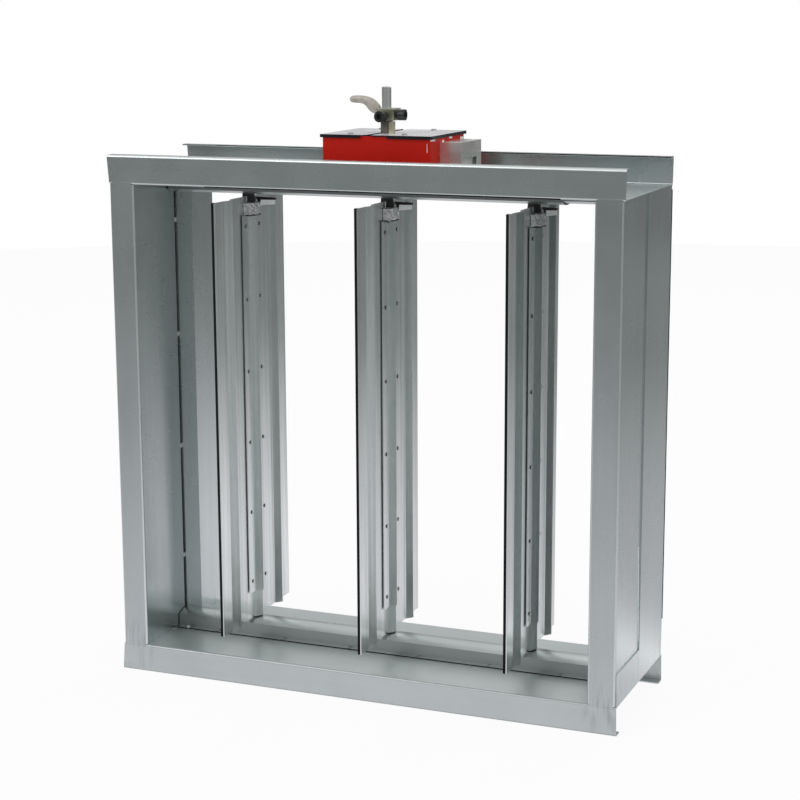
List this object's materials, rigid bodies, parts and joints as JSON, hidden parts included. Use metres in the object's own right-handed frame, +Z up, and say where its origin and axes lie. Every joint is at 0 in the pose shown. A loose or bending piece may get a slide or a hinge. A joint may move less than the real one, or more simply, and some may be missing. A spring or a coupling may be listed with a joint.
{
  "type": "combination fire smoke damper",
  "caption": "Square galvanised duct damper with upright pivoting steel blades, jamb seals, a shaft-top hand clamp and a red powered actuator on the top flange.",
  "frame": {"origin": "middle of the casing's footprint, at the level of the bottom flange's lips", "axes": "+X to the right across the opening, +Y through the opening from front to back, +Z up along the blade shafts; the blades are stored open, edge on to the front"},
  "size_m": [0.64, 0.203, 0.723],
  "materials": {
    "galvanised_steel": "matt zinc coating with a faint spangle",
    "blade_steel": "satin galvanised sheet",
    "stainless_sheet": "satin stainless sheet",
    "weld": "bright weld metal",
    "shaft_steel": "plated bar, satin",
    "clamp_steel": "rough galvanised steel",
    "bearing_plastic": "black bearing plastic",
    "seal_rubber": "black silicone",
    "actuator_red": "red satin paint",
    "cover_plate": "pale satin coating",
    "guard_steel": "galvanised sheet",
    "plated_screw": "bright zinc plate",
    "black_screw": "black oxide",
    "terminal_plastic": "dark grey plastic",
    "hand_clamp": "yellow-green zinc plate",
    "lever_casting": "pale rough casting",
    "post_plate": "pale olive zinc plate",
    "motor_body": "cast, satin"
  },
  "bodies": {
    "casing": {"casing_top_channel": "galvanised_steel", "casing_bottom_channel": "galvanised_steel", "left_jamb_front_shell": "galvanised_steel", "left_jamb_rear_shell": "galvanised_steel", "right_jamb_front_shell": "galvanised_steel", "right_jamb_rear_shell": "galvanised_steel", "corner_welds": "galvanised_steel", "left_seam_welds": "weld", "right_seam_welds": "weld", "right_stop_gasket": "seal_rubber", "bottom_jamb_seal": "stainless_sheet", "top_jamb_seal": "stainless_sheet", "top_jamb_seal_end": "stainless_sheet", "seal_rivets": "stainless_sheet", "upper_bearings": "bearing_plastic", "lower_bearings": "bearing_plastic", "actuator_housing": "actuator_red", "cover_plate_left": "cover_plate", "cover_plate_right": "cover_plate", "cover_screws": "plated_screw", "actuator_foot_screws": "plated_screw", "terminal_guard": "guard_steel", "terminal_block": "terminal_plastic", "gearmotor": "motor_body", "spring_cassette": "motor_body", "clamp_post": "post_plate", "end_switches": "terminal_plastic"},
    "blade_1": {"blade_1_skin": "blade_steel", "blade_1_edge_seal": "seal_rubber", "blade_1_stiffener": "blade_steel", "blade_1_rivets": "stainless_sheet", "blade_1_shaft_clamps": "clamp_steel", "blade_1_shaft": "shaft_steel", "blade_1_crank": "clamp_steel", "blade_1_crank_pin": "plated_screw"},
    "blade_2": {"blade_2_skin": "blade_steel", "blade_2_edge_seal": "seal_rubber", "blade_2_stiffener": "blade_steel", "blade_2_rivets": "stainless_sheet", "blade_2_shaft_clamps": "clamp_steel", "drive_shaft": "shaft_steel", "blade_2_crank": "clamp_steel", "blade_2_crank_pin": "plated_screw", "drive_hub": "motor_body", "clamp_block": "hand_clamp", "clamp_plate": "hand_clamp", "clamp_screw_front": "black_screw", "clamp_screw_side": "black_screw", "hand_lever": "lever_casting"},
    "blade_3": {"blade_3_skin": "blade_steel", "blade_3_edge_seal": "seal_rubber", "blade_3_stiffener": "blade_steel", "blade_3_rivets": "stainless_sheet", "blade_3_shaft_clamps": "clamp_steel", "blade_3_shaft": "shaft_steel", "blade_3_crank": "clamp_steel", "blade_3_crank_pin": "plated_screw"},
    "tie_bar": {"tie_bar": "clamp_steel"}
  },
  "joints": [
    {"name": "blade_1_turn", "type": "hinge", "parent": "casing", "child": "blade_1", "pos_m": [-0.183, 0, 0], "axis": [0, 0, 1], "range_deg": [-90, 0]},
    {"name": "blade_2_turn", "type": "hinge", "parent": "casing", "child": "blade_2", "pos_m": [0, 0, 0], "axis": [0, 0, 1], "range_deg": [-90, 0]},
    {"name": "blade_3_turn", "type": "hinge", "parent": "casing", "child": "blade_3", "pos_m": [0.183, 0, 0], "axis": [0, 0, 1], "range_deg": [-90, 0]},
    {"name": "tie_bar_turn", "type": "hinge", "parent": "blade_2", "child": "tie_bar", "pos_m": [0.02475, -0.02475, 0], "axis": [0, 0, 1], "range_deg": [0, 90]}
  ],
  "couplings": [
    {"joint": "blade_1_turn", "follows": "blade_2_turn", "ratio": 1},
    {"joint": "blade_3_turn", "follows": "blade_2_turn", "ratio": 1},
    {"joint": "tie_bar_turn", "follows": "blade_2_turn", "ratio": -1}
  ]
}
